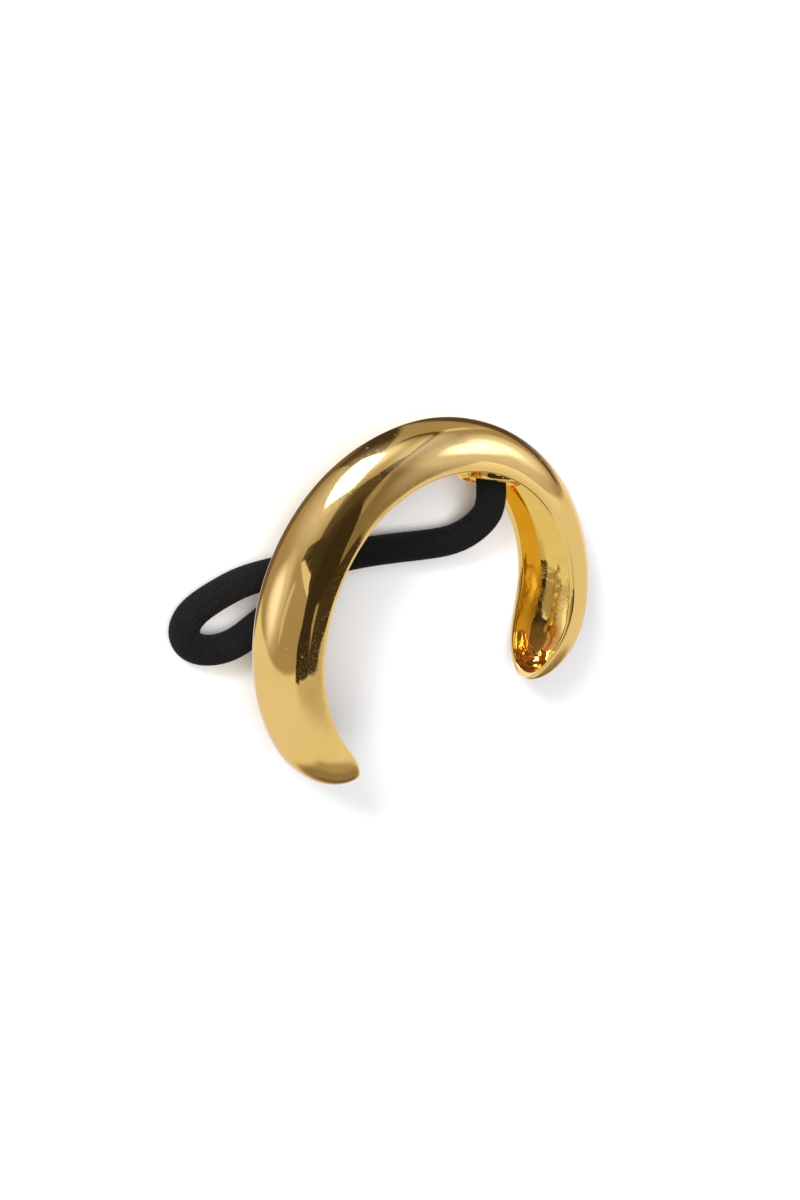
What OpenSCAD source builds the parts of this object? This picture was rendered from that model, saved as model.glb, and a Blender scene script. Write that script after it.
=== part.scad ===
// A hollow C-shaped metal cuff for a ponytail, lying on its side, with a round elastic cord.
// Both ends of the cord are set in cups that are soldered inside the band.
// The cord passes under the left limb, so that side leans up on it and the right rim is on the floor.
// +Z is up, +Y points to the crown of the C and +X to its right limb.
// The origin is on the floor, under the middle of the metal.

/* [Arch] */
// Inside width of the C, from limb to limb
inner_w = 40; // [34:1:56]
// Height of the inner rim's crown above the widest line of the C
crown_rise = 21.4; // [18:0.2:30]
// Height of the ellipse that the limbs follow below the widest line
foot_drop = 19.5; // [16:0.5:28]
// Angle from the middle of the crown to the tip of each limb
limb_angle = 137; // [124:1:146]

/* [Band] */
// Width of the band from rim to rim, at mid limb
band_w = 11.2; // [9:0.2:15]
// Depth of the band from its rims to its outer skin, at mid limb
band_d = 5.6; // [4.8:0.1:8]
// Thickness of the metal
wall = 1.2; // [0.8:0.1:1.5]
// Fullness of the section: 2 is a half ellipse, more is squarer
fullness = 2.2; // [2:0.05:2.6]

/* [Feet] */
// Length over which a foot rounds off in width
foot_round_w = 11.5; // [8:0.5:15]
// Length over which a foot rounds off in depth
foot_round_d = 9; // [6:0.5:12]
// Thickness of the metal at the tip of a foot
foot_wall = 1.6; // [1:0.1:2.4]
// How far the rims turn outward at the tip of a foot
foot_turn = 1.5; // [0.5:0.1:1.6]
// Length over which the rims turn outward there
foot_turn_l = 3.5; // [2:0.1:5]

/* [Cups] */
// Angle from the middle of the crown to the root of each cup
cup_angle = 35; // [32:1:44]
// How far a cup's mouth turns towards the foot
cup_tilt = 22; // [10:1:26]
// Outer diameter of a cup
cup_d = 7.6; // [6.6:0.1:8]
// How far the middle of a cup's mouth stands proud of the rims
cup_proud = 1.2; // [0.5:0.1:2]
// Depth of the socket in a cup
cup_depth = 4; // [2:0.1:4.4]

/* [Cord] */
// Diameter of the elastic cord
cord_d = 4; // [3:0.1:4.6]
// Radial clearance of the cord in a cup
cord_clear = 0.2; // [0.1:0.05:0.3]
// Angle from the middle of the crown to the place where the left limb lies on the cord
prop_angle = 57; // [52:1:62]

/* [Hidden] */
// Gap between the left limb and the cord under it
prop_gap = 0.1;
// Steps round the outer skin and round the channel of one section
skin_steps = 18;
channel_steps = 14;
// Sections on each limb before its foot, and over its foot
limb_steps = 22;
foot_steps = 12;
// Sides of the cord
cord_sides = 8;

// Sections of a limb, with each width and depth as a share of band_w and band_d
SHARE = 0;
WIDTH = 1;
DEPTH = 2;
SECTIONS = [
    // share of the limb, width, depth
    [0.0, 0.91, 0.99],
    [0.5, 1.00, 1.00],
    [1.0, 1.01, 1.10]
];
// Share of its full width and depth that a foot keeps at its very tip
tip_w = 0.12;
tip_d = 0.25;
// Width of the channel's blunt end, as a share of the section there
channel_end = 0.3;
// How deep under the outer skin a cup's root stops, as a share of the wall
solder = 0.6;
// Posts round a cup, and sides of each post
cup_posts = 16;
post_sides = 12;

// Points along the middle of the cord, from the right cup to the left one
CORD_ROUTE = [
    [13.2, 12.7, 6.4],
    [12.8, 11.2, 6.4],
    [12.5, 9.7, 6.5],
    [12.5, 8.0, 6.4],
    [12.5, 5.7, 5.6],
    [12.2, 4.0, 4.6],
    [11.3, 2.5, 3.5],
    [9.6, 1.4, 2.6],
    [7.2, 1.2, 2.1],
    [3.6, 2.0, 2.0],
    [0.6, 2.8, 2.0],
    [-3.0, 3.7, 2.0],
    [-6.4, 4.4, 2.0],
    [-9.8, 4.9, 2.0],
    [-13.8, 5.5, 2.0],
    [-17.4, 6.0, 2.0],
    [-20.8, 6.4, 2.0],
    [-23.6, 6.3, 2.0],
    [-26.6, 5.7, 2.0],
    [-29.0, 5.0, 2.0],
    [-30.5, 3.7, 2.0],
    [-30.9, 2.1, 2.0],
    [-30.3, 0.5, 2.0],
    [-28.8, -0.7, 2.0],
    [-26.8, -1.4, 2.0],
    [-24.6, -1.5, 2.0],
    [-22.4, -0.9, 2.0],
    [-20.4, -0.1, 2.0],
    [-18.6, 0.7, 2.4],
    [-17.1, 1.7, 3.6],
    [-15.9, 2.9, 5.3],
    [-14.8, 4.4, 7.1],
    [-13.7, 6.0, 8.4],
    [-12.7, 7.9, 9.1],
    [-12.5, 9.7, 9.2],
    [-12.8, 11.2, 9.3],
    [-13.2, 12.7, 9.3]
];

// A value of the table's column at a share of the limb, eased from row to row
function ease(x) = x * x * (3 - 2 * x);
function between(row, column, share) =
    let (
        low = SECTIONS[row],
        high = SECTIONS[row + 1],
        x = (share - low[SHARE]) / (high[SHARE] - low[SHARE])
    )
    low[column] + (high[column] - low[column]) * ease(x);
function eased(column, share) = between(share < SECTIONS[1][SHARE] ? 0 : 1, column, share);

// The inner rim's curve: its height, its points and its outward normal at an angle from the crown
function rise(angle) = abs(angle) < 90 ? crown_rise : foot_drop;
function rim(angle) = [inner_w / 2 * sin(angle), rise(angle) * cos(angle)];
function outward(angle) =
    let (n = [rise(angle) * sin(angle), inner_w / 2 * cos(angle)])
    n / norm(n);

// Length of rim from an angle to the tip of its limb
rim_per_degree = norm([inner_w / 2 * cos(limb_angle), foot_drop * sin(limb_angle)]) * PI / 180;
function to_tip(angle) = (limb_angle - abs(angle)) * rim_per_degree;

// Round fall of a foot: 0 at the tip and 1 past the rounding's length
function rounded(length, reach) =
    let (x = max(0, min(1, length / reach)))
    sqrt(1 - (1 - x) * (1 - x));

// Width and depth of the outer skin, and of the channel inside it
function full_w(angle) = band_w * eased(WIDTH, abs(angle) / limb_angle);
function full_d(angle) = band_d * eased(DEPTH, abs(angle) / limb_angle);
function skin_w(angle) = full_w(angle) * (tip_w + (1 - tip_w) * rounded(to_tip(angle), foot_round_w));
function skin_d(angle) = full_d(angle) * (tip_d + (1 - tip_d) * rounded(to_tip(angle), foot_round_d));
function channel_w(angle) =
    let (length = to_tip(angle) - foot_wall)
    max(channel_end * skin_w(angle), (full_w(angle) - 2 * wall) * rounded(length, foot_round_w));
function channel_d(angle) =
    (full_d(angle) - wall) * rounded(to_tip(angle) - foot_wall, foot_round_d);

// Depth of the rims, which turn outward at the very tip
function rim_d(angle) = foot_turn * (1 - rounded(to_tip(angle), foot_turn_l));

// A point of the cuff: angle along the arch, depth outward from the rims, height across the band
function on_arch(angle, depth, height) =
    let (p = rim(angle) + outward(angle) * depth)
    [p[0], p[1], height];

// One point of a section, at a turn of 0 on the lower rim to 180 on the upper rim
function section_point(angle, width, depth, turn) = on_arch(
    angle,
    rim_d(angle) + max(0, depth - rim_d(angle)) * pow(sin(turn), 2 / fullness),
    -width / 2 * sign(cos(turn)) * pow(abs(cos(turn)), 2 / fullness)
);
function section_ring(angle) = concat(
    [
        for (i = [0:channel_steps])
            section_point(angle, channel_w(angle), channel_d(angle), 180 * i / channel_steps)
    ],
    [for (i = [skin_steps:-1:0]) section_point(angle, skin_w(angle), skin_d(angle), 180 * i / skin_steps)]
);

// Angles of the sections on one limb, close together where its foot rounds off
foot_angle = max(foot_round_w, foot_round_d) / rim_per_degree;
limb_angles = concat(
    [for (i = [0:limb_steps]) (limb_angle - foot_angle) * i / limb_steps],
    [for (i = [1:foot_steps]) limb_angle - foot_angle * (1 - sin(90 * i / foot_steps))]
);
arch_angles = concat(
    [for (i = [len(limb_angles) - 1:-1:1]) -limb_angles[i]],
    limb_angles
);

// Rings of points joined into a closed skin, with a flat face on each end
function ring_faces(rings, sides) = concat(
    [[for (i = [sides - 1:-1:0]) i]],
    [
        for (r = [0:rings - 2], i = [0:sides - 1])
            let (
                a = r * sides + i,
                b = r * sides + (i + 1) % sides
            )
            each [[a, b, b + sides], [a, b + sides, a + sides]]
    ],
    [[for (i = [0:sides - 1]) (rings - 1) * sides + i]]
);
module skin_over(rings) {
    sides = len(rings[0]);
    polyhedron(
        points = [for (ring = rings, p = ring) p],
        faces = ring_faces(len(rings), sides)
    );
}

// The lean that lays the right rim on the floor and the left limb on the cord
function half_w(angle) = skin_w(angle) / 2;
lean = asin(
    (cord_d + prop_gap + half_w(prop_angle) - half_w(90)) / (rim(90)[0] + rim(prop_angle)[0])
);
function leaned(p) = [
    p[0] * cos(lean) + p[2] * sin(lean),
    p[1],
    p[2] * cos(lean) - p[0] * sin(lean)
];

// The metal's lowest point and the middle of its outline, which set the origin
arch_rings = [for (angle = arch_angles) section_ring(angle)];
lying = [for (ring = arch_rings, p = ring) leaned(p)];
function low(axis) = min([for (p = lying) p[axis]]);
function high(axis) = max([for (p = lying) p[axis]]);
seat = [-(low(0) + high(0)) / 2, -(low(1) + high(1)) / 2, -low(2)];
module lie() {
    translate(seat) rotate([0, lean, 0]) children();
}

// A cup in the channel: round posts hulled into a wall with a rounded lip, over a solid floor.
// Its axis leaves the channel's bed at the root and tilts, so that the mouth turns to the foot.
// Each post ends inside the metal behind the channel, where it is soldered.
bore_r = cord_d / 2 + cord_clear;
post_r = (cup_d / 2 - bore_r) / 2;
cup_bed = channel_d(cup_angle);
cup_l = (cup_bed + cup_proud) / cos(cup_tilt);
function skin_depth_at(height) =
    skin_d(cup_angle) * pow(1 - pow(abs(2 * height / skin_w(cup_angle)), fullness), 1 / fullness);
function post_root(at, side) =
    (skin_depth_at(abs(at[0]) + post_r) - wall * solder - cup_bed + side * at[1] * sin(cup_tilt))
    / cos(cup_tilt);
function post_at(k) =
    let (turn = 360 * k / cup_posts)
    (bore_r + post_r) * [cos(turn), sin(turn)];
module post(at, top, side) {
    translate([at[0], at[1], top]) cylinder(r = post_r, h = post_root(at, side) - top, $fn = post_sides);
}
module lip_post(at, side) {
    post(at, post_r - cup_l, side);
    translate([at[0], at[1], post_r - cup_l]) sphere(r = post_r, $fn = post_sides);
}
module cup(side) {
    n = outward(side * cup_angle);
    turn = atan2(n[1], n[0]) + side * cup_tilt;
    translate(on_arch(side * cup_angle, cup_bed, 0)) rotate([0, 0, turn]) rotate([0, 90, 0])
        for (k = [0:cup_posts - 1]) {
            hull() {
                lip_post(post_at(k), side);
                lip_post(post_at(k + 1), side);
            }
            hull() {
                post([0, 0], cup_depth - cup_l, side);
                post(post_at(k), cup_depth - cup_l, side);
                post(post_at(k + 1), cup_depth - cup_l, side);
            }
        }
}

module cuff_shell() {
    color("goldenrod") lie() {
        skin_over(arch_rings);
        cup(1);
        cup(-1);
    }
}

// The cord, swept along its route with rings square to it
function cord_way(i) =
    let (last = len(CORD_ROUTE) - 1)
    CORD_ROUTE[min(i + 1, last)] - CORD_ROUTE[max(i - 1, 0)];
function cord_ring(i) =
    let (
        t = cord_way(i) / norm(cord_way(i)),
        side = cross(t, [0, 0, 1]) / norm(cross(t, [0, 0, 1])),
        up = cross(side, t)
    )
    [
        for (k = [0:cord_sides - 1])
            let (turn = 360 * (k + 0.5) / cord_sides)
            CORD_ROUTE[i] + cord_d / 2 * (side * cos(turn) + up * sin(turn))
    ];
module elastic_cord() {
    color("black") skin_over([for (i = [0:len(CORD_ROUTE) - 1]) cord_ring(i)]);
}

cuff_shell();
elastic_cord();
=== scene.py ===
"""A polished gold ponytail cuff with its loose black elastic, on a pale floor in studio light."""

import math
from functools import reduce

import bmesh
import bpy
import numpy as np
from mathutils import Matrix, Vector


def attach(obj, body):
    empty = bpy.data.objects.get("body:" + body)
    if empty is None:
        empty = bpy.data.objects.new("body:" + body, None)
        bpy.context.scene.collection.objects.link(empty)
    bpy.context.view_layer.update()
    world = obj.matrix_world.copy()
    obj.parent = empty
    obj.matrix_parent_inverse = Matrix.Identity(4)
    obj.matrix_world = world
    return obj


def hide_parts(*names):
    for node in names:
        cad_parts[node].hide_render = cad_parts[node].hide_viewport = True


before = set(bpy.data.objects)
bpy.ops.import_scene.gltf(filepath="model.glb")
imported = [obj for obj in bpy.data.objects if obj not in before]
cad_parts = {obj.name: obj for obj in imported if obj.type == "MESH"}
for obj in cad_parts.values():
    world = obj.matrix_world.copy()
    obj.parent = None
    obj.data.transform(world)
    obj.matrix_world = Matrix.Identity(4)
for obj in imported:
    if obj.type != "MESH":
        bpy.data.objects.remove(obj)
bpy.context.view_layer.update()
MM = 0.001
SEED = 11

# ---------------------------------------------------------------- camera
# The photograph's frame is 800 by 1200 pixels. The camera was solved from the cuff's outline.
FRAME_W, FRAME_H = 800, 1200
FOCAL_PX = 2134.94
AIM_PX = (427.1, 620.5)
SENSOR = 36.0
CLIP_NEAR, CLIP_FAR = 0.01, 20  # in m
CAMERA_AT = (-114.27, 129.16, 218.35)  # in mm
CAMERA_RIGHT = (0.84182, -0.11144, 0.52813)
CAMERA_UP = (0.34404, 0.86472, -0.36593)


def add_camera():
    data = bpy.data.cameras.new("camera")
    data.sensor_width = SENSOR
    data.lens = FOCAL_PX * SENSOR / FRAME_H
    data.shift_x = (FRAME_W / 2 - AIM_PX[0]) / FRAME_H
    data.shift_y = (AIM_PX[1] - FRAME_H / 2) / FRAME_H
    data.clip_start, data.clip_end = CLIP_NEAR, CLIP_FAR
    camera = bpy.data.objects.new("camera", data)
    right = Vector(CAMERA_RIGHT).normalized()
    up = Vector(CAMERA_UP)
    up = (up - right * up.dot(right)).normalized()
    turn = Matrix((right, up, right.cross(up))).transposed().to_4x4()
    camera.matrix_world = Matrix.Translation(Vector(CAMERA_AT) * MM) @ turn
    bpy.context.scene.collection.objects.link(camera)
    bpy.context.scene.camera = camera


add_camera()


# ---------------------------------------------------------------- meshes
WAVE_SPREAD = (0.7, 1.4)  # the waves of one kind vary in length by these shares


def new_mesh(name, points, faces, material):
    """A smooth mesh object from points in mm."""
    mesh = bpy.data.meshes.new(name)
    mesh.from_pydata((np.asarray(points) * MM).tolist(), [], faces)
    mesh.shade_smooth()
    mesh.materials.append(material)
    mesh.validate()
    mesh.update()
    thing = bpy.data.objects.new(name, mesh)
    bpy.context.scene.collection.objects.link(thing)
    return thing


def tube_faces(rings, sides):
    """Faces of a closed tube: quads between rings, and a flat face on each end."""
    faces = []
    for a in range(0, (rings - 1) * sides, sides):
        for i in range(sides):
            j = (i + 1) % sides
            faces.append((a + i, a + j, a + sides + j, a + sides + i))
    last = (rings - 1) * sides
    faces.append(tuple(range(sides - 1, -1, -1)))
    faces.append(tuple(range(last, last + sides)))
    return faces


def vertex_normals(rings):
    """Outward normals of a tube of rings."""
    along = np.gradient(rings, axis=0)
    around = (np.roll(rings, -1, 1) - np.roll(rings, 1, 1)) / 2
    n = np.cross(around, along)
    return n / (np.linalg.norm(n, axis=-1, keepdims=True) + 1e-12)


def ripple(points, waves):
    """Smooth unevenness at each point, from seeded waves: length in mm, height in mm, how many."""
    draw = np.random.default_rng(SEED)
    out = np.zeros(len(points))
    for length, height, count in waves:
        for _ in range(count):
            way = draw.normal(size=3)
            way *= 2 * math.pi / (length * draw.uniform(*WAVE_SPREAD) * np.linalg.norm(way))
            out += height / math.sqrt(count) * np.sin(points @ way + draw.uniform(0, 2 * math.pi))
    return out


def smooth(x):
    """0 below 0, 1 above 1, and an even ease between."""
    x = np.clip(x, 0, 1)
    return x * x * (3 - 2 * x)


# ---------------------------------------------------------------- cuff
# Sizes in mm and degrees. An angle is counted from the crown, with the right limb above zero.
# The main form is the solid's. The toes, the channel and the cups have finer shapes here.
INNER_W, CROWN_RISE, FOOT_DROP, LIMB_ANGLE = 40.0, 21.4, 19.5, 137.0
BAND_W, BAND_D, WALL, FULLNESS = 11.2, 5.6, 1.2, 2.2
# The band's width and depth as shares of BAND_W and BAND_D, at SHARES of the way down a limb.
SHARES = np.array([0.0, 0.5, 1.0])
WIDTHS = np.array([0.91, 1.00, 1.01])
DEPTHS = np.array([0.99, 1.00, 1.10])
# How far from the tip a toe starts to round off, and how fully. TIP_W and TIP_D are the shares
# that are left at the left and the right tip.
FOOT_ROUND_W, FOOT_ROUND_D = 11.5, 9.0
FOOT_POWER_W, FOOT_POWER_D = 1.1, 1.2
TIP_W, TIP_D = (0.26, 0.12), (0.333, 0.187)
FOOT_TURN, FOOT_TURN_L = (2.0, 1.1), 8.0  # how far the rims turn out at the left and the right toe
# The channel's walls are finer than the solid's plain ones. It closes later than the outer skin,
# it is rounder in the feet, and it is CHANNEL_END of the toe's width at the tip.
SEEN_WALL, SEEN_FOOT_WALL = 0.85, 0.65
CHANNEL_ROUND_W, CHANNEL_ROUND_D, CHANNEL_END = 8.5, 7.5, 0.3
FOOT_FULLNESS, FOOT_FULLNESS_FROM, FOOT_FULLNESS_L = 1.75, 105, 17
CHANNEL_LEAST = 0.05  # a channel less deep than this is all rim
LIP, LIP_SHARE, LIP_FULLNESS = 0.40, 0.45, 2.3  # how deep the rims' round edges reach, at most
OUTER_STEPS, LIP_STEPS, CHANNEL_STEPS = 72, 10, 88
CHANNEL_FIRST = OUTER_STEPS + LIP_STEPS - 1
LIMB_STEPS, FOOT_STEPS = 100, 104
# The cord, and how the left limb lies on it.
CORD_D, CORD_CLEAR, PROP_ANGLE, PROP_GAP = 4.0, 0.2, 57.0, 0.1

CUP_ANGLE, CUP_TILT, CUP_D, CUP_PROUD, CUP_DEPTH = 35.0, 22.0, 8.6, 1.2, 4.0
# For the right (1) and the left (-1) cup: how far its lip stands back, how much more on one side,
# and how far its mouth opens out on another.
CUP_BACK, CUP_SLANT, CUP_FLARE = {1: -0.6, -1: 0.9}, {1: 1.1, -1: 0.6}, {1: 1.7, -1: 1.5}
CUP_SLANT_WAY, CUP_FLARE_WAY = 57.0, 15.0
CUP_SIDES, CUP_ROOT_STEPS, CUP_WALL_STEPS, CUP_LIP_STEPS, CUP_BORE_STEPS = 72, 12, 20, 16, 24
CUP_ROOT_SPAN = (0.04, 0.96)  # the root's first and last ring, as shares of the cup's radius
SOLDER = 0.5  # how deep under the outer skin a cup's root stops
# How the root keeps under the skin, which falls off to the sides and curves along the band.
SKIN_MARGIN, SKIN_R = 0.3, 24.0
SLIVER = 0.004  # shorter edges are closed up where the cups join

# Unevenness, as waves: length in mm, height in mm, how many.
SKIN_WAVES = [(16, 0.030, 5), (7, 0.008, 6)]
CHANNEL_WAVES = [(9, 0.035, 5), (3.2, 0.006, 6)]
CUP_WAVES = [(2.2, 0.05, 8), (0.9, 0.025, 10)]
RIM_FADE, TOE_FADE = 0.07, 1.4  # the channel's unevenness fades out at its rims and tips
# The casting crease in the right limb: angles, and how far across the channel it is there.
CREASE = np.array([(99.5, 0.655), (105, 0.645), (109, 0.667), (114.5, 0.678), (119, 0.70),
                   (122, 0.72)])
CREASE_H, CREASE_EDGE, CREASE_REACH = 0.11, 0.2, 1.1
CREASE_SWAY, CREASE_SWAY_TURN = 0.10, 1.9
CREASE_FADE = (2, 3)  # over so many degrees at its start and its end
CHANNEL_ROUND = 17  # mm across the channel, measured along its curve
# The plating's pools: how far they reach from the toes' tips, how uneven their edges are, how
# thick they are, and the folds and wrinkles in them.
POOL_REACH, POOL_EDGE, POOL_H = 4.3, 0.5, 0.03
POOL_SWAY, POOL_SWAY_WAVES = 12, [(2.8, 0.08, 6), (1.2, 0.03, 8)]
FOLD_WAVES = [(3.4, 0.12, 5)]
WRINKLE_WAVES, WRINKLE_SHIFT = [(1.6, 0.050, 6), (0.8, 0.014, 8)], 7


def eased(values, angle):
    """Values at the crown, half way and the tip, eased along the limb."""
    share = np.abs(angle) / LIMB_ANGLE
    low = (share >= 0.5).astype(int)
    x = (share - SHARES[low]) / (SHARES[low + 1] - SHARES[low])
    return values[low] + (values[low + 1] - values[low]) * x * x * (3 - 2 * x)


def rise(angle):
    return np.where(np.abs(angle) < 90, CROWN_RISE, FOOT_DROP)


def rim(angle):
    """Points on the arch that the inner rims follow."""
    a = np.radians(angle)
    return np.stack([INNER_W / 2 * np.sin(a), rise(angle) * np.cos(a)], -1)


def outward(angle):
    """The arch's outward normals."""
    a = np.radians(angle)
    n = np.stack([rise(angle) * np.sin(a), INNER_W / 2 * np.cos(a)], -1)
    return n / np.linalg.norm(n, axis=-1, keepdims=True)


TIP = math.radians(LIMB_ANGLE)
RIM_PER_DEGREE = math.hypot(INNER_W / 2 * math.cos(TIP), FOOT_DROP * math.sin(TIP)) * math.pi / 180


def to_tip(angle):
    """How far it is to the limb's tip, in mm along the rim."""
    return (LIMB_ANGLE - np.abs(angle)) * RIM_PER_DEGREE


def rounded(length, reach):
    """A quarter circle, from 0 at no length to 1 at the reach."""
    x = np.clip(length / reach, 0, 1)
    return np.sqrt(1 - (1 - x) ** 2)


def skin_w(angle):
    tip = np.where(angle < 0, *TIP_W)
    toe = tip + (1 - tip) * rounded(to_tip(angle), FOOT_ROUND_W) ** FOOT_POWER_W
    return BAND_W * eased(WIDTHS, angle) * toe


def skin_d(angle):
    tip = np.where(angle < 0, *TIP_D)
    toe = tip + (1 - tip) * rounded(to_tip(angle), FOOT_ROUND_D) ** FOOT_POWER_D
    return BAND_D * eased(DEPTHS, angle) * toe


def channel_w(angle):
    inside = BAND_W * eased(WIDTHS, angle) - 2 * SEEN_WALL
    inside = inside * rounded(to_tip(angle) - SEEN_FOOT_WALL, CHANNEL_ROUND_W)
    return np.maximum(CHANNEL_END * skin_w(angle), inside)


def channel_d(angle):
    inside = BAND_D * eased(DEPTHS, angle) - SEEN_WALL
    return inside * rounded(to_tip(angle) - SEEN_FOOT_WALL, CHANNEL_ROUND_D)


def rim_d(angle):
    """How far out of the arch the rims turn."""
    near = np.clip(1 - to_tip(angle) / FOOT_TURN_L, 0, 1)
    return np.where(angle < 0, *FOOT_TURN) * near ** 3


def lean_angle():
    """How far the cuff leans, with its left limb on the cord."""
    reach = rim(np.array([90.0, PROP_ANGLE]))[:, 0].sum()
    half = skin_w(np.array([PROP_ANGLE, 90.0])) / 2
    return math.asin((CORD_D + PROP_GAP + half[0] - half[1]) / reach)


LEAN = lean_angle()


def leaned(points):
    c, s = math.cos(LEAN), math.sin(LEAN)
    x, y, z = points[..., 0], points[..., 1], points[..., 2]
    return np.stack([x * c + z * s, y, z * c - x * s], -1)


def arc(width, depth, base, start, steps, full):
    """Points (depth, height) of each section's superellipse, from its lower to its upper end."""
    full = full[:, None]
    t = start[:, None] + (math.pi - 2 * start[:, None]) * np.linspace(0, 1, steps)[None]
    bulge = np.clip(np.sin(t), 0, None) ** (2 / full)
    deep = base[:, None] + np.clip(depth - base, 0, None)[:, None] * bulge
    high = -width[:, None] / 2 * np.sign(np.cos(t)) * np.abs(np.cos(t)) ** (2 / full)
    return deep, high


def lip(base, reach_a, reach_b, high_a, high_b):
    """Points of a round rim edge, from height a to height b, without its two ends."""
    t = math.pi * np.arange(1, LIP_STEPS) / LIP_STEPS
    reach = np.where(t < math.pi / 2, reach_a[:, None], reach_b[:, None])
    deep = base[:, None] + reach * (1 - np.sin(t) ** (2 / LIP_FULLNESS))
    side = np.sign(np.cos(t)) * np.abs(np.cos(t)) ** (2 / LIP_FULLNESS)
    high = (high_a + high_b)[:, None] / 2 + (high_a - high_b)[:, None] / 2 * side
    return deep, high


def band_angles():
    """The sections' angles, which lie closer together towards the tips."""
    foot = max(FOOT_ROUND_W, FOOT_ROUND_D) / RIM_PER_DEGREE
    limb = np.linspace(0, LIMB_ANGLE - foot, LIMB_STEPS + 1)
    turn = np.pi / 2 * np.arange(1, FOOT_STEPS + 1) / FOOT_STEPS
    toe = LIMB_ANGLE - foot * (1 - np.sin(turn))
    half = np.concatenate([limb, toe])
    return np.concatenate([-half[:0:-1], half])


def band():
    """The band's sections as rings in the cuff's own frame, where they are channel, and angles."""
    a = band_angles()
    base = rim_d(a)
    deep_out, deep_in = skin_d(a) - base, np.clip(channel_d(a) - base, 0, None)
    reach_out, reach_in = (np.minimum(LIP, LIP_SHARE * deep) for deep in (deep_out, deep_in))

    def start(reach, deep, full):
        """Where on its superellipse a section leaves the rim's round edge."""
        share = np.divide(reach, deep, out=np.zeros_like(deep), where=deep > 1e-6)
        return np.arcsin(share ** (full / 2))

    full = np.full(len(a), FULLNESS)
    start_out = start(reach_out, deep_out, full)
    out_d, out_h = arc(skin_w(a), skin_d(a), base, start_out, OUTER_STEPS, full)
    in_foot = smooth((np.abs(a) - FOOT_FULLNESS_FROM) / FOOT_FULLNESS_L)
    full = FULLNESS + (FOOT_FULLNESS - FULLNESS) * in_foot
    start_in = start(reach_in, deep_in, full)
    in_d, in_h = arc(channel_w(a), channel_d(a), base, start_in, CHANNEL_STEPS, full)
    top_d, top_h = lip(base, reach_out, reach_in, out_h[:, -1], in_h[:, -1])
    low_d, low_h = lip(base, reach_in, reach_out, in_h[:, 0], out_h[:, 0])
    deep = np.concatenate([out_d, top_d, in_d[:, ::-1], low_d], 1)
    high = np.concatenate([out_h, top_h, in_h[:, ::-1], low_h], 1)
    flat = rim(a)[:, None, :] + outward(a)[:, None, :] * deep[..., None]
    inner = np.zeros(deep.shape)
    inner[:, CHANNEL_FIRST:CHANNEL_FIRST + CHANNEL_STEPS] = (deep_in > CHANNEL_LEAST)[:, None]
    return np.concatenate([flat, high[..., None]], -1), inner, a


def seat_of(rings):
    """The shift that sets the leaning metal on the floor, with the origin under its middle."""
    p = leaned(rings).reshape(-1, 3)
    low, high = p.min(0), p.max(0)
    return np.array([-(low[0] + high[0]) / 2, -(low[1] + high[1]) / 2, -low[2]])


def cup_points(side):
    """A cup's rings in the cuff's frame, from its root round its slanted lip and down its bore."""
    at, tilt = np.array([CUP_ANGLE]), math.radians(CUP_TILT)
    half_w, skin = float(skin_w(at)[0]) / 2, float(skin_d(at)[0])
    bed = float(BAND_D * eased(DEPTHS, at)[0]) - WALL
    length = (bed + CUP_PROUD) / math.cos(tilt)
    bore, outer = CORD_D / 2 + CORD_CLEAR, CUP_D / 2
    spin = 2 * math.pi * np.arange(CUP_SIDES) / CUP_SIDES

    def root(r):
        """How far out the cup's root reaches at radius r: up to just under the outer skin."""
        share = np.clip((r * np.abs(np.sin(spin)) + SKIN_MARGIN) / half_w, 0, 1)
        behind = skin * (1 - share ** FULLNESS) ** (1 / FULLNESS)
        behind = behind - (r * np.cos(spin)) ** 2 / (2 * SKIN_R)
        return (behind - SOLDER - bed + side * r * np.cos(spin) * math.sin(tilt)) / math.cos(tilt)

    def facing(way):
        """How much each side faces a way, which is mirrored in the left cup."""
        return np.cos(spin - math.radians(90 - side * (90 - way)))

    flare = CUP_FLARE[side] * (0.5 + 0.5 * facing(CUP_FLARE_WAY)) ** 2
    slant = CUP_SLANT[side] * facing(CUP_SLANT_WAY)
    low, floor_at = (outer - bore) / 2 - length + CUP_BACK[side] + slant, CUP_DEPTH - length
    turn = np.pi * np.arange(1, CUP_LIP_STEPS) / CUP_LIP_STEPS
    half = (outer - bore - flare) / 2
    end = [(np.full(CUP_SIDES, outer * k), root(outer * k))
           for k in np.linspace(*CUP_ROOT_SPAN, CUP_ROOT_STEPS)]
    wall = [(np.full(CUP_SIDES, outer), root(outer) + (low - root(outer)) * k)
            for k in np.linspace(0, 1, CUP_WALL_STEPS)]
    edge = [(outer - half + half * math.cos(t), low - half * math.sin(t)) for t in turn]
    bore_in = [(bore + flare * (1 - k) ** 3, low + (floor_at - low) * k)
               for k in np.linspace(0, 1, CUP_BORE_STEPS)]
    profile = np.array(end + wall + edge + bore_in)
    n = outward(side * at)[0]
    way = math.atan2(n[1], n[0]) + side * tilt
    foot = rim(side * at)[0] + n * bed
    axis = np.array([math.cos(way), math.sin(way), 0])
    across = np.array([-math.sin(way), math.cos(way), 0])
    up = np.array([0, 0, 1.0])
    radial = across[None] * np.cos(spin)[:, None] + up[None] * np.sin(spin)[:, None]
    return np.r_[foot, 0] + profile[:, 1, :, None] * axis + profile[:, 0, :, None] * radial[None]


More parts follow.
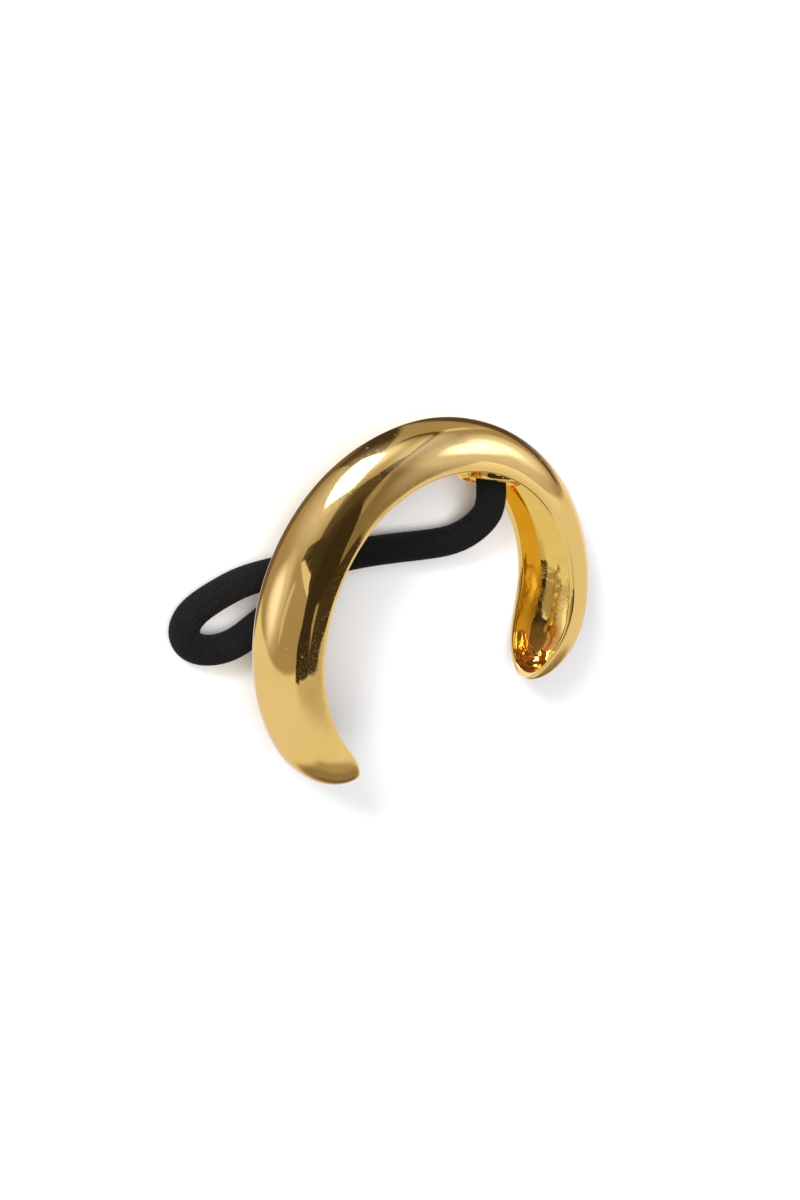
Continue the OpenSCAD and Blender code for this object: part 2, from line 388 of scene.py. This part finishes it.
def channel_shape(points, angles, across):
    """How far the channel stands out of its smooth form: ripples, a crease, and the toes' pools."""
    out = ripple(points, CHANNEL_WAVES)
    off = (across - np.interp(angles, *CREASE.T)) * CHANNEL_ROUND
    off = off + CREASE_SWAY * np.sin(angles * CREASE_SWAY_TURN)
    along = smooth((angles - CREASE[0, 0]) / CREASE_FADE[0])
    along = along * smooth((CREASE[-1, 0] - angles) / CREASE_FADE[1])
    out += along * CREASE_H * np.tanh(off / CREASE_EDGE) * np.exp(-(off / CREASE_REACH) ** 2)
    reach = POOL_REACH + POOL_SWAY * ripple(points, POOL_SWAY_WAVES)
    pool = smooth((reach - to_tip(angles)) / POOL_EDGE)
    folds = np.abs(ripple(points, FOLD_WAVES)) + ripple(points + WRINKLE_SHIFT, WRINKLE_WAVES)
    return out + pool * (POOL_H + folds)


def new_cup(name, side, seat, material):
    """A cup as a closed piece of its own, before it is soldered in."""
    rings = cup_points(side)
    points = rings.reshape(-1, 3)
    points = points + vertex_normals(rings).reshape(-1, 3) * ripple(points, CUP_WAVES)[:, None]
    return new_mesh(name, leaned(points) + seat, tube_faces(*rings.shape[:2]), material)


def solder(body, piece):
    """Join a piece to the body exactly, so that both are one closed mesh."""
    join = body.modifiers.new(piece.name, "BOOLEAN")
    join.operation, join.solver, join.object = "UNION", "EXACT", piece
    bpy.context.view_layer.update()
    graph = bpy.context.evaluated_depsgraph_get()
    merged = bpy.data.meshes.new_from_object(body.evaluated_get(graph))
    body.modifiers.clear()
    body.data = merged
    bpy.data.objects.remove(piece)


def clean_joins(body):
    """Split the many-sided faces round the joins, and close up the slivers on the cups' side."""
    work = bmesh.new()
    work.from_mesh(body.data)
    bmesh.ops.triangulate(work, faces=[f for f in work.faces if len(f.verts) > 4])
    near = [e for e in work.edges if e.verts[0].co.y > 0]
    bmesh.ops.dissolve_degenerate(work, dist=SLIVER * MM, edges=near)
    work.to_mesh(body.data)
    work.free()


def gold_cuff(outer, inside):
    """The whole cuff as one closed mesh, with its cups soldered in."""
    rings, inner, angles = band()
    seat = seat_of(rings)
    normals = vertex_normals(rings)
    count, sides = inner.shape
    across = np.clip((np.arange(sides) - CHANNEL_FIRST) / (CHANNEL_STEPS - 1), 0, 1)
    across, angles = np.tile(across, count), np.repeat(angles, sides)
    points, normals, inner = rings.reshape(-1, 3), normals.reshape(-1, 3), inner.reshape(-1)
    skin = ripple(points, SKIN_WAVES)
    fade = smooth(np.minimum(across, 1 - across) / RIM_FADE)
    fade = fade * smooth((to_tip(angles) - SEEN_FOOT_WALL) / TOE_FADE)
    channel = channel_shape(points, angles, across) * fade
    points = points + normals * (skin * (1 - inner) + channel * inner)[:, None]
    faces = tube_faces(count, sides)
    body = new_mesh("gold_cuff", leaned(points) + seat, faces, outer)
    body.data.materials.append(inside)
    for face, corners in zip(body.data.polygons, faces):
        face.material_index = int(len(corners) == 4 and inner[list(corners)].min() > 0.5)
    for name, side in (("cup_right", 1), ("cup_left", -1)):
        solder(body, new_cup(name, side, seat, inside))
    clean_joins(body)
    body.data.name = "gold_cuff"
    body.data.shade_smooth()
    return body


# ---------------------------------------------------------------- elastic
# The middle of the cord, as in the part's source, in mm.
CORD_ROUTE = [
    (13.2, 12.7, 6.4), (12.8, 11.2, 6.4), (12.5, 9.7, 6.5), (12.5, 8.0, 6.4),
    (12.5, 5.7, 5.6), (12.2, 4.0, 4.6), (11.3, 2.5, 3.5), (9.6, 1.4, 2.6), (7.2, 1.2, 2.1),
    (3.6, 2.0, 2.0), (0.6, 2.8, 2.0), (-3.0, 3.7, 2.0), (-6.4, 4.4, 2.0), (-9.8, 4.9, 2.0),
    (-13.8, 5.5, 2.0), (-17.4, 6.0, 2.0), (-20.8, 6.4, 2.0), (-23.6, 6.3, 2.0),
    (-26.6, 5.7, 2.0), (-29.0, 5.0, 2.0), (-30.5, 3.7, 2.0), (-30.9, 2.1, 2.0),
    (-30.3, 0.5, 2.0), (-28.8, -0.7, 2.0), (-26.8, -1.4, 2.0), (-24.6, -1.5, 2.0),
    (-22.4, -0.9, 2.0), (-20.4, -0.1, 2.0), (-18.6, 0.7, 2.4), (-17.1, 1.7, 3.6),
    (-15.9, 2.9, 5.3), (-14.8, 4.4, 7.1), (-13.7, 6.0, 8.4), (-12.7, 7.9, 9.1),
    (-12.5, 9.7, 9.2), (-12.8, 11.2, 9.3), (-13.2, 12.7, 9.3),
]
CORD_SIDES, CORD_STEP = 72, 0.14
ROUTE_STEPS, ROUTE_ROUNDS = 20, 180  # steps from point to point, and rounds of averaging
BRAID_TURN, BRAID_STRANDS, BRAID_RELIEF = 5.2, 12, 0.07
BRAID_INSET = 0.02  # how far the braid's tops lie under the cord's full radius


def smooth_route(route, step):
    """The route as a smooth line with even steps: a Catmull-Rom curve, averaged many times."""
    p = np.array(route)
    p = np.concatenate([[2 * p[0] - p[1]], p, [2 * p[-1] - p[-2]]])
    line = []
    for i in range(1, len(p) - 2):
        for t in np.linspace(0, 1, ROUTE_STEPS, endpoint=False):
            a, b, c, d = p[i - 1:i + 3]
            line.append(0.5 * (2 * b + (c - a) * t + (2 * a - 5 * b + 4 * c - d) * t * t
                               + (3 * b - 3 * c + d - a) * t ** 3))
    line = np.array(line + [p[-2]])
    for _ in range(ROUTE_ROUNDS):
        line[1:-1] = 0.25 * line[:-2] + 0.5 * line[1:-1] + 0.25 * line[2:]
    far = np.concatenate([[0], np.cumsum(np.linalg.norm(np.diff(line, axis=0), axis=1))])
    at = np.linspace(0, far[-1], int(far[-1] / step) + 1)
    return np.stack([np.interp(at, far, line[:, k]) for k in range(3)], -1), far[-1]


def carried_across(tangent):
    """A direction across the line at each point, carried along it without a twist."""
    side = np.zeros_like(tangent)
    side[0] = np.cross(tangent[0], [0, 0, 1.0])
    side[0] /= np.linalg.norm(side[0])
    for i in range(1, len(tangent)):
        s = side[i - 1] - tangent[i] * side[i - 1].dot(tangent[i])
        side[i] = s / np.linalg.norm(s)
    return side


def elastic_loop(material):
    """The cord, its middle line, and that line's length in mm."""
    line, length = smooth_route(CORD_ROUTE, CORD_STEP)
    tangent = np.gradient(line, axis=0)
    tangent /= np.linalg.norm(tangent, axis=1, keepdims=True)
    side = carried_across(tangent)
    up = np.cross(tangent, side)
    turn = 2 * math.pi * np.arange(CORD_SIDES)[None] / CORD_SIDES
    lay = 2 * math.pi * np.linspace(0, length, len(line))[:, None] / BRAID_TURN
    one = np.cos(BRAID_STRANDS / 2 * (turn + lay))
    two = np.cos(BRAID_STRANDS / 2 * (turn - lay))
    over = 0.5 + 0.5 * np.sin(BRAID_STRANDS * turn) * np.sin(BRAID_STRANDS * lay)
    height = np.maximum(np.abs(one) * over, np.abs(two) * (1 - over))
    radius = CORD_D / 2 - BRAID_INSET - BRAID_RELIEF * (1 - height)
    ring = side[:, None] * np.cos(turn)[..., None] + up[:, None] * np.sin(turn)[..., None]
    points = (line[:, None] + radius[..., None] * ring).reshape(-1, 3)
    cord = new_mesh("elastic_loop", points, tube_faces(len(line), CORD_SIDES), material)
    return cord, line, length


# ---------------------------------------------------------------- materials
# Colours in two tones, and the tint of the reflection at a glancing angle.
GOLD, GOLD_GLANCE = [(0.88, 0.595, 0.118, 1), (0.92, 0.625, 0.132, 1)], (1, 0.88, 0.62, 1)
CHANNEL_GOLD, CHANNEL_GLANCE = [(0.86, 0.57, 0.084, 1), (0.90, 0.61, 0.104, 1)], (1, 0.78, 0.34, 1)
# The pools' colour is partly the plating's redder gold and partly painted shade: darker, to dim a
# bright reflection on the toes' low walls.
POOL_GOLD_AND_SHADE, POOL_METAL = (0.84, 0.42, 0.07, 1), 0.93
ELASTIC, ELASTIC_SHEEN = [(0.005, 0.005, 0.005, 1), (0.012, 0.012, 0.012, 1)], (0.5, 0.5, 0.5, 1)
FLOOR = (0.88, 0.88, 0.885, 1)
# Hairline scratches: the grain's turn, its stretch, and from where its noise shows.
SCRATCHES = [
    ((0, 0, 0.6), (0.5, 26, 26), 0.70),
    ((0.4, 0.5, -0.9), (0.7, 34, 34), 0.71),
    ((1.1, 0.2, 1.9), (0.9, 40, 40), 0.71),
]
SCRATCH_H, SCRATCH_ROUGH = -0.0015, 0.08  # heights in mm
PIT_H, PIT_SCALE, PIT_R, PITS_LEFT_OUT = -0.02, 0.8, (0.05, 0.11), 0.72
# Where the channel is grainy, and where the toes' pools lie, in mm from the origin. The pools'
# redder, darker colour reaches further than the pools, as painted shade on the low walls near the
# toes. The second pair says up to where they are full, and from where they are gone.
GRAIN_PLACES, GRAIN_REACH = [(21.8, -12.2, 2.0), (-21.6, -12.0, 6.0)], (2.5, 5.5)
POOL_AND_SHADE_PLACES, POOL_AND_SHADE_REACH = [(17.3, -19.5, 5.5), (-17.6, -19.3, 9.5)], (4.2, 6.2)
GRAIN_H, GRAIN_ROUGH, CHANNEL_ROUGH = 0.022, 0.14, 0.04


class Nodes:
    """Short calls for a node tree, where a value is a socket to link or a plain value to set."""

    def __init__(self, tree):
        self.tree = tree
        tree.nodes.clear()

    def put(self, node, key, value):
        if isinstance(value, bpy.types.NodeSocket):
            self.tree.links.new(value, node.inputs[key])
        else:
            node.inputs[key].default_value = value

    def make(self, kind, inputs, **settings):
        """A node with its settings, and with its inputs by name or number."""
        node = self.tree.nodes.new(kind)
        for name, value in settings.items():
            setattr(node, name, value)
        for key, value in inputs.items():
            self.put(node, key, value)
        return node

    def add(self, kind, *values, out=0, **settings):
        """One output of a node, with its inputs in turn. None leaves an input as it is."""
        inputs = {i: value for i, value in enumerate(values) if value is not None}
        return self.make(kind, inputs, **settings).outputs[out]

    def math(self, operation, *values):
        return self.add("ShaderNodeMath", *values, operation=operation)

    def fold(self, operation, values):
        """All the values joined by one operation."""
        return reduce(lambda a, b: self.math(operation, a, b), values)

    def step(self, value, low, high, to_low=0.0, to_high=1.0):
        return self.add("ShaderNodeMapRange", value, low, high, to_low, to_high,
                        interpolation_type="SMOOTHSTEP")

    def noise(self, where, scale, detail=2.0, rough=0.5):
        inputs = {"Vector": where, "Scale": scale, "Detail": detail, "Roughness": rough}
        return self.make("ShaderNodeTexNoise", inputs).outputs[0]

    def stretch(self, where, scale, turn=(0, 0, 0)):
        inputs = {"Vector": where, "Scale": scale, "Rotation": turn}
        return self.make("ShaderNodeMapping", inputs).outputs[0]

    def mm(self):
        """Where a point of the object is, in mm."""
        return self.stretch(self.add("ShaderNodeTexCoord", out=3), (1 / MM, 1 / MM, 1 / MM))

    def near(self, where, places, reach):
        """1 near any of the places, and 0 away from them."""
        away = [self.add("ShaderNodeVectorMath", where, place, out=1, operation="DISTANCE")
                for place in places]
        return self.fold("MAXIMUM", [self.step(far, *reach, 1.0, 0.0) for far in away])

    def mix(self, share, a, b):
        return self.make("ShaderNodeMix", {0: share, 6: a, 7: b}, data_type="RGBA").outputs[2]

    def tones(self, noise, low, high, colors):
        return self.mix(self.step(noise, low, high), *colors)

    def bump(self, height, distance, shader, strength=1.0):
        inputs = {"Strength": strength, "Distance": distance, "Height": height}
        self.put(shader, "Normal", self.make("ShaderNodeBump", inputs).outputs[0])


def material(name):
    """A new material, the short calls for its nodes, and its shader."""
    m = bpy.data.materials.new(name)
    m.use_nodes = True
    n = Nodes(m.node_tree)
    shader = n.make("ShaderNodeBsdfPrincipled", {})
    n.make("ShaderNodeOutputMaterial", {0: shader.outputs[0]})
    return m, n, shader


def gold_material():
    """The polished outside: almost a mirror, with faint tones, hairline scratches and few pits."""
    m, n, shader = material("polished_gold")
    mm = n.mm()
    n.put(shader, "Metallic", 1.0)
    n.put(shader, "Specular Tint", GOLD_GLANCE)
    n.put(shader, "Base Color", n.tones(n.noise(mm, 0.12, 3, 0.5), 0.35, 0.65, GOLD))
    lines = [n.step(n.noise(n.stretch(mm, stretch, turn), 0.5, 1, 0.4), gate, gate + 0.05)
             for turn, stretch, gate in SCRATCHES]
    scratches = n.fold("MAXIMUM", lines)
    pits = n.make("ShaderNodeTexVoronoi", {"Vector": mm, "Scale": PIT_SCALE})
    pit = n.step(pits.outputs["Distance"], *PIT_R, 1.0, 0.0)
    chance = n.add("ShaderNodeSeparateColor", pits.outputs["Color"])
    pit = n.math("MULTIPLY", pit, n.math("GREATER_THAN", chance, PITS_LEFT_OUT))
    cloud = n.step(n.noise(mm, 0.6, 4, 0.6), 0.3, 0.75, 0.015, 0.04)
    n.put(shader, "Roughness", n.math("ADD", cloud, n.math("MULTIPLY", scratches, SCRATCH_ROUGH)))
    heights = [n.math("MULTIPLY", scratches, SCRATCH_H), n.math("MULTIPLY", pit, PIT_H),
               n.math("MULTIPLY", n.noise(mm, 2.2, 2, 0.5), 0.001)]
    n.bump(n.fold("ADD", heights), MM, shader)
    return m


def channel_material():
    """The unpolished channel: smooth, grainy in the limbs, and redder and darker in the toes,
    partly the plating's pools and partly painted shade.
    """
    m, n, shader = material("channel_gold")
    mm = n.mm()
    n.put(shader, "Specular Tint", CHANNEL_GLANCE)
    color = n.tones(n.noise(mm, 0.25, 3, 0.5), 0.35, 0.65, CHANNEL_GOLD)
    # redder, darker colour near the toes: the plating's pools, and painted shade over the low walls
    # there
    pool = n.near(mm, POOL_AND_SHADE_PLACES, POOL_AND_SHADE_REACH)
    n.put(shader, "Base Color", n.mix(pool, color, POOL_GOLD_AND_SHADE))
    n.put(shader, "Metallic", n.step(pool, 0.0, 1.0, 1.0, POOL_METAL))
    patch = n.math("MULTIPLY", n.near(mm, GRAIN_PLACES, GRAIN_REACH),
                   n.step(n.noise(mm, 0.7, 3, 0.6), 0.38, 0.58))
    grain = n.math("MULTIPLY", n.math("MULTIPLY", n.noise(mm, 4.0, 2, 0.6), patch), GRAIN_H)
    height = n.math("ADD", grain, n.math("MULTIPLY", n.noise(mm, 2.0, 2, 0.5), 0.0015))
    rough = n.math("ADD", CHANNEL_ROUGH, n.math("MULTIPLY", patch, GRAIN_ROUGH))
    n.put(shader, "Roughness", rough)
    n.bump(height, MM, shader)
    return m


def elastic_material():
    """Matt black yarn with a trace of sheen."""
    m, n, shader = material("black_elastic")
    mm = n.mm()
    n.put(shader, "Roughness", 0.9)
    n.put(shader, "Specular IOR Level", 0.03)
    n.put(shader, "Sheen Weight", 0.05)
    n.put(shader, "Sheen Roughness", 0.5)
    n.put(shader, "Sheen Tint", ELASTIC_SHEEN)
    n.put(shader, "Base Color", n.tones(n.noise(mm, 5.0, 4, 0.6), 0.3, 0.7, ELASTIC))
    n.bump(n.noise(mm, 9.0, 3, 0.6), 0.03 * MM, shader, 0.6)
    return m


def floor_material():
    m, n, shader = material("pale_floor")
    n.put(shader, "Base Color", FLOOR)
    n.put(shader, "Roughness", 0.9)
    n.put(shader, "Specular IOR Level", 0.0)
    return m


# ---------------------------------------------------------------- pieces
cord, cord_line, cord_length = elastic_loop(elastic_material())
cord.visible_glossy = False
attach(cord, "root")
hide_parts("elastic_cord")

cuff = gold_cuff(gold_material(), channel_material())
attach(cuff, "root")
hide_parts("cuff_shell")


# ---------------------------------------------------------------- studio
def direction(az, el):
    """The unit vector at an azimuth and elevation in degrees."""
    a, e = math.radians(az), math.radians(el)
    return Vector((math.cos(e) * math.cos(a), math.cos(e) * math.sin(a), math.sin(e)))


# What the polished metal sees, as panels round it: brightness, softness of the edges in degrees,
# and corners as (azimuth, elevation) in turn round the panel. Later panels cover earlier ones.
PANELS = [
    # the table's far side, and its shade under the toes
    (0.58, 17, [(209, 51), (221, 46), (251, 54), (305, 46), (325, 48), (273, 70)]),
    (0.83, 1.5, [(322, 20), (339, 32), (346, 39), (349, 43), (341, 46), (333, 47.5), (320, 46)]),
    (0.44, 12, [(248, -27), (262, -34), (302, -24), (310, -6), (308, 11), (299, 22), (284, 27),
                (256, 23), (245, -5)]),
    (0.31, 12, [(248, -22), (262, -27), (298, -22), (307, -6), (302, 9), (280, 13), (256, 9),
                (247, -5)]),
    (0.20, 8, [(262, -18), (276, -22), (298, -17), (300, -9), (284, -6), (266, -9)]),
    # warm walls beside the softbox
    (0.24, 12, [(26, 20), (31, 1), (46, 4), (60, 42), (44, 40)]),
    (0.51, 5, [(75, -19), (88, 15), (79, 27), (59, 27), (50, -4)]),
    (0.10, 11, [(356, -9), (330, -56), (339, -67), (17, -62), (23, -47), (15, -33), (5, -21)]),
    (0.26, 6, [(60, 43), (37, 74), (333, 68), (333, 46), (347, 49)]),
    (0.09, 1.5, [(1, -22), (356, -24), (350, -8), (349.5, -1), (352, -3), (358, -14)]),
    # the dark ceiling
    (0.115, 1.5, [(134, 28), (143, 38), (131, 58), (90, 63), (76, 59), (66, 44), (77, 30), (93, 20),
                  (102, 14)]),
    (0.06, 12, [(69, 63), (80, 46), (121, 37), (139, 51), (119, 66)]),
    (0.044, 1.2, [(215, 54), (304, 63), (339, 71), (76, 56), (110, 55), (156, 56)]),
    (0.038, 1.2, [(220, 55), (180, 65), (183, 59), (194, 53), (210, 48)]),
    (0.06, 1.2, [(339, 71), (260, 84), (264, 67), (310, 55), (326, 45), (339, 60)]),
    (0.06, 1.2, [(125, 27), (136, 5), (142, 6), (156, 60), (113, 54)]),
    (0.07, 1, [(78, 28), (68, 44), (64, 41), (55, 22)]),
    # thin dark frames round the softbox, and its stand
    (0.083, 1.5, [(59, 22), (57, 26), (51, 11), (49, -1), (51, -2)]),
    (0.11, 2, [(45, -11), (50, -16), (50, 2)]),
    (0.13, 3.3, [(51, -10), (45, -13), (51, -20), (62, -25), (70, -22), (67, -20)]),
    (0.81, 3.2, [(29, -22), (43, -16), (43, -9), (28, -16)]),
    (0.61, 4, [(16, -31), (31, -22), (29, -17), (15, -27)]),
    (0.09, 3, [(91, -45), (79, -27), (70, -43), (27, -70), (347, -83)]),
    (0.07, 3, [(78, -22), (71, -28), (315, -58), (333, -76), (61, -64)]),
    # the dark cloth under it all
    (0.19, 5, [(318, -64), (30, -70), (75, -70), (110, -73), (150, -72), (195, -69), (240, -68),
               (280, -66)]),
    # the softbox
    (7.0, 2.5, [(118, -12), (110, -3), (101, 11), (94, 9), (82, -1), (74, -14), (80, -29),
                (83, -39), (96, -40), (109, -31), (116, -23)]),
    # light past the ceiling's edge, and a gap in it
    (0.85, 1.2, [(143, 6), (161, 57), (143, 46), (141, 12)]),
    (0.42, 1.5, [(257, 70), (270, 83), (217, 83), (230, 77)]),
    (0.70, 4.5, [(168, 1), (184, -1), (178, 8), (153, 14), (153, 7)]),
]
# Soft glows: brightness, reach in degrees, azimuth and elevation.
GLOWS = [
    (0.36, 32, 9, 35),
    (0.56, 24, 12, 9),
    (0.90, 14, 15, 17),
    (1.50, 14, 17, 32),
    (0.37, 28, 49, 19),
    (0.35, 26, 165, -20),
    (0.50, 20, 170, -31),
    (0.30, 49, 104, -17),
    (0.40, 20, 80, -7),
    (0.15, 20, 338, -28),
]
# Where the pale table fills the view, and the softness of its edge: azimuth, elevation, half angle.
TABLE, TABLE_EDGE = (269, -5.5, 77.6), 0.025
TABLE_LIGHT, ROOM_LIGHT = 0.84, 0.42
# The dim parts of the room are warm, the bright ones are daylight, and the glows are whiter still.
DIM_TINT, BRIGHT_TINT, GLOW_TINT = (1, 0.81, 0.95, 1), (1, 1.03, 1.70, 1), (1, 1.15, 2.9)
DIM, BRIGHT = 0.05, 0.9
# The area lights: azimuth, elevation, distance and size in m, and watts.
LIGHTS = {"key_light": (122, 30, 1.2, 0.32, 12), "fill_light": (130, 62, 1.5, 2.0, 36.5)}
FLOOR_R, FLOOR_SIDES = 270.0, 128


def studio():
    """The studio as the metal sees it. The floor and the elastic are lit by the area lights."""
    world = bpy.data.worlds.new("studio")
    bpy.context.scene.world = world
    world.use_nodes = True
    n = Nodes(world.node_tree)
    way = n.add("ShaderNodeTexCoord", out=0)

    def toward(v):
        return n.add("ShaderNodeVectorMath", way, tuple(v), out=1, operation="DOT_PRODUCT")

    def panel_cover(corners, soft):
        """1 inside a panel's edges, all of which are great circles."""
        v = [direction(*c) for c in corners]
        middle, edge = sum(v, Vector()), math.radians(soft)
        planes = [a.cross(b).normalized() for a, b in zip(v, v[1:] + v[:1])]
        planes = [-plane if plane.dot(middle) < 0 else plane for plane in planes]
        return n.fold("MULTIPLY", [n.step(toward(p), -edge / 2, edge / 2) for p in planes])

    centre, rim_at = direction(*TABLE[:2]), math.cos(math.radians(TABLE[2]))
    light = n.step(toward(centre), rim_at - TABLE_EDGE, rim_at + TABLE_EDGE,
                   ROOM_LIGHT, TABLE_LIGHT)
    for bright, soft, corners in PANELS:
        light = n.add("ShaderNodeMix", panel_cover(corners, soft), None, light, bright)
    tint = n.mix(n.step(light, DIM, BRIGHT), DIM_TINT, BRIGHT_TINT)
    glows = [n.step(toward(direction(az, el)), math.cos(math.radians(reach)), 1.0, 0.0, bright)
             for bright, reach, az, el in GLOWS]
    shine = n.fold("ADD", glows)
    room = n.add("ShaderNodeVectorMath", tint, None, None, light, operation="SCALE")
    shine = n.add("ShaderNodeVectorMath", GLOW_TINT, None, None, shine, operation="SCALE")
    room = n.add("ShaderNodeVectorMath", room, shine, operation="ADD")
    seen = n.add("ShaderNodeLightPath")
    back = n.make("ShaderNodeBackground", {"Color": n.mix(seen, room, (1, 1, 1, 1))})
    n.make("ShaderNodeOutputWorld", {0: back.outputs[0]})
    world.cycles_visibility.diffuse = False
    world.cycles.sampling_method = "NONE"


def area_light(name, az, el, far, size, watts):
    data = bpy.data.lights.new(name, "AREA")
    data.shape, data.size, data.energy = "DISK", size, watts
    lamp = bpy.data.objects.new(name, data)
    at = direction(az, el) * far
    lamp.matrix_world = Matrix.Translation(at) @ at.to_track_quat("Z", "Y").to_matrix().to_4x4()
    lamp.visible_glossy = False
    lamp.visible_camera = False
    bpy.context.scene.collection.objects.link(lamp)


def floor():
    """A round pale sheet, no wider than the lights fill, so its edge melts into the white."""
    turn = 2 * math.pi * np.arange(FLOOR_SIDES) / FLOOR_SIDES
    edge = FLOOR_R * np.stack([np.cos(turn), np.sin(turn), np.zeros(FLOOR_SIDES)], -1)
    ground = new_mesh("floor", edge, [tuple(range(FLOOR_SIDES))], floor_material())
    ground.visible_glossy = False


studio()
floor()
for light_name, setting in LIGHTS.items():
    area_light(light_name, *setting)

view = bpy.context.scene.view_settings
view.view_transform = "Standard"
view.look = "None"
